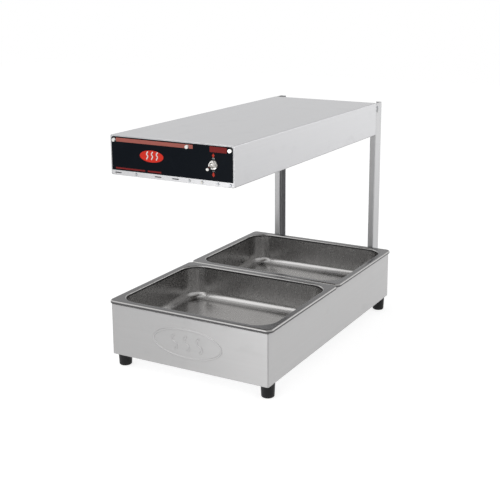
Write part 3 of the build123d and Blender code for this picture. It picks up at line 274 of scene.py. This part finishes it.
def screen_ink(name, colour):
    """Screen-printed ink, with the mesh's texture and thin spots."""
    threads = 9000.0
    ink = Finish(name, specular_ior_level=0.12)
    mesh = (ink.axis("X") * threads).sine() * (ink.axis("Z") * threads).sine()
    thin = ink.noise(420.0, 3.0).between(0.52, 0.80)
    ink.set(base_color=ink.shaded(colour, 1.0 - thin * 0.16 + mesh * 0.03),
            roughness=0.42 + thin * 0.10 + mesh * 0.03)
    ink.bumped(mesh * 0.5 + thin, strength=0.15, distance=0.00003)
    return ink.material


def zinc_plate():
    """Clear zinc on small steel parts: bluish and straw patches, tool marks and brighter edges."""
    bluish, straw = (0.43, 0.445, 0.47), (0.47, 0.45, 0.40)
    plate = Finish("zinc_plate", metallic=1.0)
    patches = plate.noise(240.0, 3.0).between(0.40, 0.70)
    marks = plate.noise(1500.0, 3.0)
    tone = 0.86 + marks * 0.16 + plate.edge_band(0.0003) * 0.12
    plate.set(base_color=plate.shaded(plate.mixed(patches, bluish, straw), tone),
              roughness=0.26 + marks * 0.16)
    plate.bumped(marks, strength=0.15, distance=0.00005, edge=0.00025)
    return plate.material


def bright_nickel():
    """Nickel on the switch and the panel screws: turned rings about the switch, scratches and a soft edge."""
    plate = Finish("bright_nickel", metallic=1.0)
    from_axis = (plate.axis("X", SWITCH.x) ** 2.0 + plate.axis("Z", SWITCH.z) ** 2.0) ** 0.5
    rings = (from_axis * 16000.0).sine() * 0.5 + 0.5
    scratches = plate.noise(1.0, 3.0, (900.0, 2600.0, 5200.0)).between(0.58, 0.72)
    tone = 0.93 + rings * 0.05 + plate.noise(300.0) * 0.06
    plate.set(base_color=plate.shaded((0.72, 0.71, 0.69), tone),
              roughness=0.13 + rings * 0.06 + scratches * 0.12)
    plate.bumped(rings * 0.4 + scratches, strength=0.08, distance=0.00004, edge=0.0003)
    return plate.material


def foot_rubber():
    """Moulded black rubber: fine pitting, uneven blackness and pale dust where it meets the counter."""
    black, dusty = (0.012, 0.012, 0.013), (0.075, 0.072, 0.068)
    rubber = Finish("foot_rubber", specular_ior_level=0.22)
    pits = rubber.noise(1300.0, 3.0)
    patches = rubber.noise(130.0, 3.0)
    dust = (1 - rubber.axis("Z").between(0.0, 0.007)) * patches.between(0.30, 0.75)
    rubber.set(base_color=rubber.mixed(dust * 0.45, rubber.shaded(black, 0.75 + patches * 0.6), dusty),
               roughness=0.40 + pits * 0.12 + dust * 0.25)
    rubber.bumped(pits, strength=0.30, distance=0.00008)
    return rubber.material


def moulded_black():
    """Spark-textured black moulding with flow patches and paler edges."""
    moulding = Finish("moulded_black", specular_ior_level=0.45)
    spark = moulding.noise(2200.0, 3.0)
    flow = moulding.noise(60.0, 3.0, warp=1.0)
    tone = 0.75 + spark * 0.3 + flow * 0.3 + moulding.edge_band(0.0003) * 0.5
    moulding.set(base_color=moulding.shaded((0.021, 0.021, 0.022), tone), roughness=0.44 + spark * 0.14)
    moulding.bumped(spark, strength=0.30, distance=0.00006, edge=0.0003)
    return moulding.material


def heater_silicone():
    """Silicone mat with the glass cloth's weave pressed into it and the wire runs just showing."""
    yarns, wires = 5200.0, 420.0
    mat = Finish("heater_silicone", specular_ior_level=0.4)
    weave = (mat.axis("X") * yarns).sine() * (mat.axis("Y") * yarns).sine() * 0.5 + 0.5
    runs = (mat.axis("X") * wires).sine().between(0.80, 0.98)
    tone = 0.82 + weave * 0.14 + runs * 0.12 + mat.noise(40.0, 3.0) * 0.12
    mat.set(base_color=mat.shaded((0.40, 0.105, 0.045), tone), roughness=0.52 + weave * 0.12)
    mat.bumped(weave * 0.6 + runs, strength=0.35, distance=0.00020)
    return mat.material


def blanket_fibre():
    """Mineral-fibre blanket: matted fibres, needle holes and a yellowed binder."""
    yellowed, pale = (0.66, 0.60, 0.44), (0.80, 0.77, 0.66)
    wool = Finish("blanket_fibre", specular_ior_level=0.2, sheen_weight=0.25)
    matted = wool.noise(900.0, 6.0, (1.0, 1.0, 2.5), roughness=0.75, warp=2.0)
    tufts = wool.noise(120.0, 4.0)
    needled = wool.cells(330.0).between(0.05, 0.16)
    hue = wool.mixed(tufts.between(0.35, 0.70), yellowed, pale)
    wool.set(base_color=wool.shaded(hue, (0.66 + matted * 0.5) * (0.82 + needled * 0.18)), roughness=0.92)
    wool.bumped(matted + tufts * 1.5 + needled, strength=0.80, distance=0.0006)
    return wool.material


def element_sheath():
    """Heating element: oxidised alloy sheath, browned and blued where it is hot, paler at its cold ends."""
    cold_end = (0.34, 0.31, 0.27)
    browned_and_blued = [(0.30, (0.085, 0.070, 0.060)), (0.50, (0.150, 0.118, 0.092)),
                         (0.72, (0.105, 0.112, 0.128))]
    sheath = Finish("element_sheath", metallic=0.85)
    hot = 1 - sheath.axis("Y", ELEMENT.y).size().between(0.205, 0.245)
    blotches = sheath.noise(55.0, 4.0, (1.0, 0.4, 1.0), warp=0.6)
    burnt = sheath.node("ValToRGB", {"stops": browned_and_blued}, {"Fac": blotches})
    scale = sheath.noise(1400.0, 4.0)
    sheath.set(base_color=sheath.shaded(sheath.mixed(hot, cold_end, burnt), 0.80 + scale * 0.35),
               roughness=0.46 + scale * 0.22)
    sheath.bumped(scale, strength=0.30, distance=0.00008)
    return sheath.material


def steatite():
    """Off-white ceramic bushes, speckled, with a dull fired surface."""
    ceramic = Finish("steatite", specular_ior_level=0.4)
    specks = 1 - ceramic.cells(1500.0).between(0.10, 0.22)
    tone = 0.93 + ceramic.noise(200.0, 3.0) * 0.10 - specks * 0.10
    ceramic.set(base_color=ceramic.shaded((0.78, 0.75, 0.68), tone), roughness=0.50 + specks * 0.2)
    ceramic.bumped(ceramic.noise(1800.0, 3.0), strength=0.25, distance=0.00008, edge=0.0003)
    return ceramic.material


def bright_wire():
    """Plated guard wire: fine drawing marks, and a straw tint in patches over the element."""
    clean, straw = (0.66, 0.66, 0.67), (0.50, 0.40, 0.26)
    wire = Finish("bright_wire", metallic=1.0)
    drawn = wire.noise(1.0, 2.0, (900.0, 900.0, 900.0))
    near_heat = 1 - wire.axis("X").size().between(0.0, 0.050)
    patchy = near_heat * wire.noise(45.0, 3.0).between(0.30, 0.75)
    wire.set(base_color=wire.shaded(wire.mixed(patchy * 0.7, clean, straw), 0.88 + drawn * 0.18),
             roughness=0.20 + drawn * 0.12 + patchy * 0.10)
    wire.bumped(drawn, strength=0.12, distance=0.00005, edge=0.0003)
    return wire.material


def cable_grey():
    """Grey sheathed cable: dull extruded skin with faint long lines."""
    skin = Finish("cable_grey", specular_ior_level=0.4)
    lines = skin.noise(1.0, 2.0, (1400.0, 1400.0, 30.0))
    skin.set(base_color=skin.shaded((0.105, 0.107, 0.112), 0.85 + lines * 0.2 + skin.noise(60.0) * 0.15),
             roughness=0.50 + lines * 0.14)
    skin.bumped(lines, strength=0.20, distance=0.00008)
    return skin.material


def lead_braid():
    """White high-temperature leads in a fine glass braid."""
    strand = 5200.0
    braid = Finish("lead_braid", specular_ior_level=0.3)
    one_way = (braid.axis("X") + braid.axis("Y") + braid.axis("Z")) * strand
    other_way = (braid.axis("X") - braid.axis("Y") - braid.axis("Z")) * strand
    strands = one_way.sine() * other_way.sine() * 0.5 + 0.5
    braid.set(base_color=braid.shaded((0.74, 0.73, 0.68), 0.78 + strands * 0.24 + braid.noise(90.0) * 0.1),
              roughness=0.62 + strands * 0.12)
    braid.bumped(strands, strength=0.40, distance=0.00015)
    return braid.material


def dress(finish, *names):
    """Gives these frame nodes one finish all over."""
    for name in names:
        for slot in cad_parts[name].material_slots:
            slot.material = finish


# How tightly each sheet's grain is packed along X, Y and Z, in lines a metre. The base is rubbed level all
# round, the posts upwards, and the well, the bottom panel and the hood from front to rear.
base_grain = (16.0, 16.0, 1900.0)
well_grain = (1500.0, 14.0, 1500.0)
hood_grain = (1900.0, 13.0, 1900.0)
post_grain = (1900.0, 1900.0, 13.0)

dress(satin_sheet("base_satin_sheet", (0.445, 0.442, 0.443), base_grain, roughness=0.40, streak=0.85,
                  edge=0.0012),
      "base_shell", "base_rear_panel")
dress(satin_sheet("base_underside_sheet", (0.50, 0.50, 0.51), well_grain, roughness=0.36),
      "base_bottom_panel", "pan_well")
dress(satin_sheet("hood_satin_sheet", (0.515, 0.515, 0.525), hood_grain, roughness=0.36),
      "hood_shell", "hood_front_panel", "hood_rear_panel", "bay_cover_front", "bay_cover_rear")
dress(satin_sheet("post_satin_channel", (0.44, 0.44, 0.446), post_grain, roughness=0.36, streak=0.60),
      "left_post", "right_post")
dress(drawn_pan_steel(), "front_pan", "rear_pan")
dress(folded_plain_steel(), "left_post_bracket", "right_post_bracket", "heater_tray", "hood_mount_bracket")
dress(bright_reflector(), "reflector", "reflector_end_front", "reflector_end_rear")
dress(printed_panel_black(), "control_overlay")
dress(zinc_plate(), "tray_screws", "foot_screws", "foot_nuts", "casing_screws", "post_bolts", "post_inserts",
      "guard_clip_screws", "lip_screws", "mount_screws")
dress(bright_nickel(), "panel_screws", "switch_nut", "switch_washer", "switch_inner_nut", "switch_bushing",
      "toggle_lever", "lever_pin")
dress(foot_rubber(), "foot_front_left", "foot_front_right", "foot_rear_left", "foot_rear_right",
      "cable_grommets")
dress(moulded_black(), "cord_gland", "switch_body", "terminal_block", "hood_terminal_block",
      "base_thermostat")
dress(heater_silicone(), "base_heater")
dress(blanket_fibre(), "heater_insulation", "hood_insulation")
dress(element_sheath(), "heating_element")
dress(steatite(), "element_ceramics")
dress(bright_wire(), "wire_guard", "element_hangers", "guard_clips")
dress(cable_grey(), "post_cable")
dress(lead_braid(), "switch_lead", "element_leads", "base_leads")


# ---------------------------------------------------------------- printing on the control panel
def clear():
    """Leaves nothing selected, because an operator acts on everything that is."""
    bpy.ops.object.select_all(action="DESELECT")


def settle():
    """Puts the new object's place, turn and size into its mesh."""
    bpy.ops.object.transform_apply(location=True, rotation=True, scale=True)


def pick_edges(test):
    """In edit mode, selects only the edges whose two ends pass the test."""
    bpy.ops.mesh.select_mode(type="EDGE")
    bpy.ops.mesh.select_all(action="DESELECT")
    mesh = bmesh.from_edit_mesh(bpy.context.object.data)
    for edge in mesh.edges:
        edge.select_set(all(test(v.co) for v in edge.verts))
    mesh.select_flush_mode()
    bmesh.update_edit_mesh(bpy.context.object.data)


def patch(x, z, width, height, lift=0.0):
    """A flat patch on the overlay's face, looking forward, with its edit mode open."""
    clear()
    bpy.ops.mesh.primitive_plane_add(size=1.0, location=(x, PANEL_FACE - lift, z), rotation=(pi / 2, 0, 0))
    bpy.ops.transform.resize(value=(width, 1.0, height))
    settle()
    bpy.ops.object.mode_set(mode="EDIT")


def printed(name, ink):
    """Closes edit mode, gives the patch the ink's thickness and makes it part of the control panel."""
    if bpy.context.object.mode != "OBJECT":
        bpy.ops.mesh.select_all(action="SELECT")
        bpy.ops.mesh.remove_doubles(threshold=0.00001)
        bpy.ops.mesh.normals_make_consistent(inside=False)
        bpy.ops.object.mode_set(mode="OBJECT")
    piece = bpy.context.object
    piece.name = piece.data.name = name
    coat = piece.modifiers.new("film", "SOLIDIFY")
    coat.thickness, coat.offset = PRINT_FILM, 1.0
    bpy.ops.object.modifier_apply(modifier="film")
    piece.data.materials.clear()
    piece.data.materials.append(ink)
    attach(piece, BODY)


def rounded_patch(name, ink, x, z, width, height, corner):
    """A stripe or block of ink with round corners."""
    patch(x, z, width, height)
    bpy.ops.mesh.select_all(action="SELECT")
    bpy.ops.mesh.bevel(offset=corner, segments=6, affect="VERTICES")
    printed(name, ink)


def oval_patch(name, ink, x, z, width, height):
    """An oval of ink."""
    clear()
    bpy.ops.mesh.primitive_circle_add(vertices=72, radius=0.5, fill_type="NGON",
                                      location=(x, PANEL_FACE, z), rotation=(pi / 2, 0, 0))
    bpy.ops.transform.resize(value=(width, 1.0, height))
    settle()
    printed(name, ink)


def heat_wave(name, ink, x, bottom, lift):
    """A line of ink that sways right, left and right again as it rises: a straight foot, then spun bends."""
    foot, width = 0.0008, 0.0019
    bend, turn, step = 0.0027, radians(52), radians(11)  # radius, the swing to one side, and its finest step
    patch(x, bottom + foot / 2, width, foot, lift)
    pick_edges(lambda co: co.z > bottom + foot / 2)
    at, heading = Vector((x, bottom + foot)), pi / 2
    for swing in (-turn, 2 * turn, -2 * turn, turn):
        inward = pi / 2 if swing > 0 else -pi / 2
        centre = at + Vector((cos(heading + inward), sin(heading + inward))) * bend
        bpy.ops.mesh.spin(steps=max(4, round(abs(swing) / step)), angle=swing,
                          center=(centre.x, PANEL_FACE - lift, centre.y), axis=(0, 1, 0))
        heading += swing
        at = centre + Vector((cos(heading - inward), sin(heading - inward))) * bend
    printed(name, ink)


def arrow(name, ink, x, tail, tip):
    """A short stem pulled out into a head that closes to a point. tail and tip are heights."""
    stem, width = 0.0026, 0.0056
    shoulder = 0.0001  # how high the step from the stem to the head is
    stem_share, point_share = 0.42, 0.02  # of the whole length, and of the head's width
    up = 1 if tip > tail else -1
    neck = tail + (tip - tail) * stem_share
    patch(x, (tail + neck) / 2, stem, abs(neck - tail))
    pick_edges(lambda co: (co.z - neck) * up > -shoulder / 2)
    bpy.ops.mesh.extrude_region_move(TRANSFORM_OT_translate={"value": (0, 0, shoulder * up)})
    bpy.ops.transform.resize(value=(width / stem, 1, 1))
    bpy.ops.mesh.extrude_region_move(TRANSFORM_OT_translate={"value": (0, 0, tip - neck - shoulder * up)})
    bpy.ops.transform.resize(value=(point_share, 1, 1))
    printed(name, ink)


def word(name, ink, text, x, z, height):
    """Small plain lettering."""
    clear()
    bpy.ops.object.text_add(location=(x, PANEL_FACE, z), rotation=(pi / 2, 0, 0))
    letters = bpy.context.object.data
    letters.body, letters.size = text, height
    letters.align_x, letters.align_y = "CENTER", "CENTER"
    letters.resolution_u = 3
    bpy.ops.object.convert(target="MESH")
    settle()
    printed(name, ink)


signal_red = screen_ink("ink_signal_red", (0.74, 0.036, 0.020))
arrow_red = screen_ink("ink_arrow_red", (0.58, 0.045, 0.025))
brick_red = screen_ink("ink_brick_red", (0.42, 0.130, 0.105))
deep_red = screen_ink("ink_deep_red", (0.22, 0.017, 0.016))
label_white = screen_ink("ink_white", (0.82, 0.82, 0.80))
label_grey = screen_ink("ink_grey", (0.42, 0.42, 0.42))

# The badge: an oval with three heat waves on top of its ink.
badge = PANEL + Vector((-0.036, 0.0, 0.0005))
wave_spacing, wave_foot = 0.0095, badge.z - 0.0056
oval_patch("badge_field", signal_red, badge.x, badge.z, width=0.046, height=0.0195)
for number in (1, 2, 3):
    wave_x = badge.x + (number - 2) * wave_spacing
    heat_wave(f"badge_wave_{number}", label_white, wave_x, wave_foot, PRINT_FILM)

# Plain stripes: each one's middle, from the middle of the overlay, then its width, height and corner radius.
for name, ink, x, z, width, height, corner in (
        ("top_stripe_long", brick_red, -0.0315, 0.0229, 0.1490, 0.0064, 0.0004),
        ("top_block", deep_red, 0.0895, 0.0220, 0.0310, 0.0088, 0.0006),
        ("rule_long", deep_red, -0.0787, -0.0244, 0.0585, 0.0026, 0.0003),
        ("rule_short", deep_red, -0.0310, -0.0244, 0.0265, 0.0026, 0.0003)):
    rounded_patch(name, ink, PANEL.x + x, PANEL.z + z, width, height, corner)

# The two positions of the switch, above and below it.
arrow("up_arrow", arrow_red, SWITCH.x, SWITCH.z + 0.0119, SWITCH.z + 0.0182)
arrow("down_arrow", arrow_red, SWITCH.x, SWITCH.z - 0.0122, SWITCH.z - 0.0195)
word("word_on", label_white, "ON", SWITCH.x, SWITCH.z + 0.0102, height=0.0030)
word("word_off", label_grey, "OFF", SWITCH.x, SWITCH.z - 0.0104, height=0.0028)

# ---------------------------------------------------------------- floor, backdrop, light
FLOOR_SIZE = 9.0
FLOOR_GREY, FLOOR_GLOW = 0.52, 0.74  # its colour for bounced light, and what it adds where it is seen
BOUNCED_SKY = 0.55  # the room's strength for bounced light; it is 1 where it is seen


def seen(nodes):
    """1 where the camera, a reflection or a clear part looks, and 0 where light only bounces."""
    camera, glossy, through = (nodes.node("LightPath", output=f"Is {ray} Ray")
                               for ray in ("Camera", "Glossy", "Transmission"))
    return camera.larger(glossy).larger(through)


def softbox(name, place, target, size, watts):
    """A square diffuser that looks at a point."""
    bpy.ops.object.light_add(type="AREA", location=place)
    lamp = bpy.context.object
    lamp.name = name
    lamp.data.shape, lamp.data.size, lamp.data.energy = "SQUARE", size, watts
    lamp.rotation_euler = (Vector(target) - Vector(place)).to_track_quat("-Z", "Y").to_euler()


floor_paint = Finish("pale_floor", base_color=(FLOOR_GREY,) * 3, roughness=1.0, specular_ior_level=0.0,
                     emission_color=(1.0, 1.0, 1.0))
floor_paint.set(emission_strength=seen(floor_paint) * FLOOR_GLOW)
bpy.ops.mesh.primitive_plane_add(size=FLOOR_SIZE, location=(0, 0, 0))
studio_floor = bpy.context.object
studio_floor.name = "studio_floor"
studio_floor.data.materials.append(floor_paint.material)

room = bpy.context.scene.world or bpy.data.worlds.new("studio_room")
bpy.context.scene.world = room
room.use_nodes = True
air = Nodes(room.node_tree)
sky = air.tree.nodes["Background"]
air.feed(sky.inputs["Color"], (1.0, 1.0, 1.0))
air.feed(sky.inputs["Strength"], seen(air) * (1 - BOUNCED_SKY) + BOUNCED_SKY)

# Four large diffusers round the object, and two small low ones for the right side and the front of the base.
middle = (0, 0, 0.2)
softbox("rear_softbox", (1.9, 2.2, 0.9), middle, size=1.6, watts=9.0)
softbox("low_rear_softbox", (0.60, 1.50, 0.16), (0.1, 0.2, 0.08), size=0.4, watts=0.25)
softbox("front_softbox", (0.2, -2.8, 1.0), middle, size=1.6, watts=3.0)
softbox("low_front_softbox", (-0.1, -1.0, 0.2), (0.1, -0.25, 0.08), size=0.4, watts=1.1)
softbox("key_softbox", (-1.15, -1.64, 1.5), (0, -0.1, 0.2), size=1.5, watts=7.5)
softbox("left_softbox", (-2.2, 0.3, 0.9), middle, size=1.4, watts=5.0)

# ---------------------------------------------------------------- camera
CAMERA_PLACE = (0.8469, -1.5351, 0.68219)
LOOK_DOWN, LOOK_LEFT = 12.62, 28.23  # degrees below the horizon, and to the left of +Y

bpy.ops.object.camera_add(location=CAMERA_PLACE,
                          rotation=(radians(90 - LOOK_DOWN), 0.0, radians(LOOK_LEFT)))
camera = bpy.context.object
camera.name = "studio_camera"
camera.data.sensor_width = 36.0
camera.data.lens = 68.707
camera.data.shift_x, camera.data.shift_y = -0.04, -0.12
camera.data.clip_start = 0.05
bpy.context.scene.camera = camera
bpy.context.scene.view_settings.view_transform = "Standard"
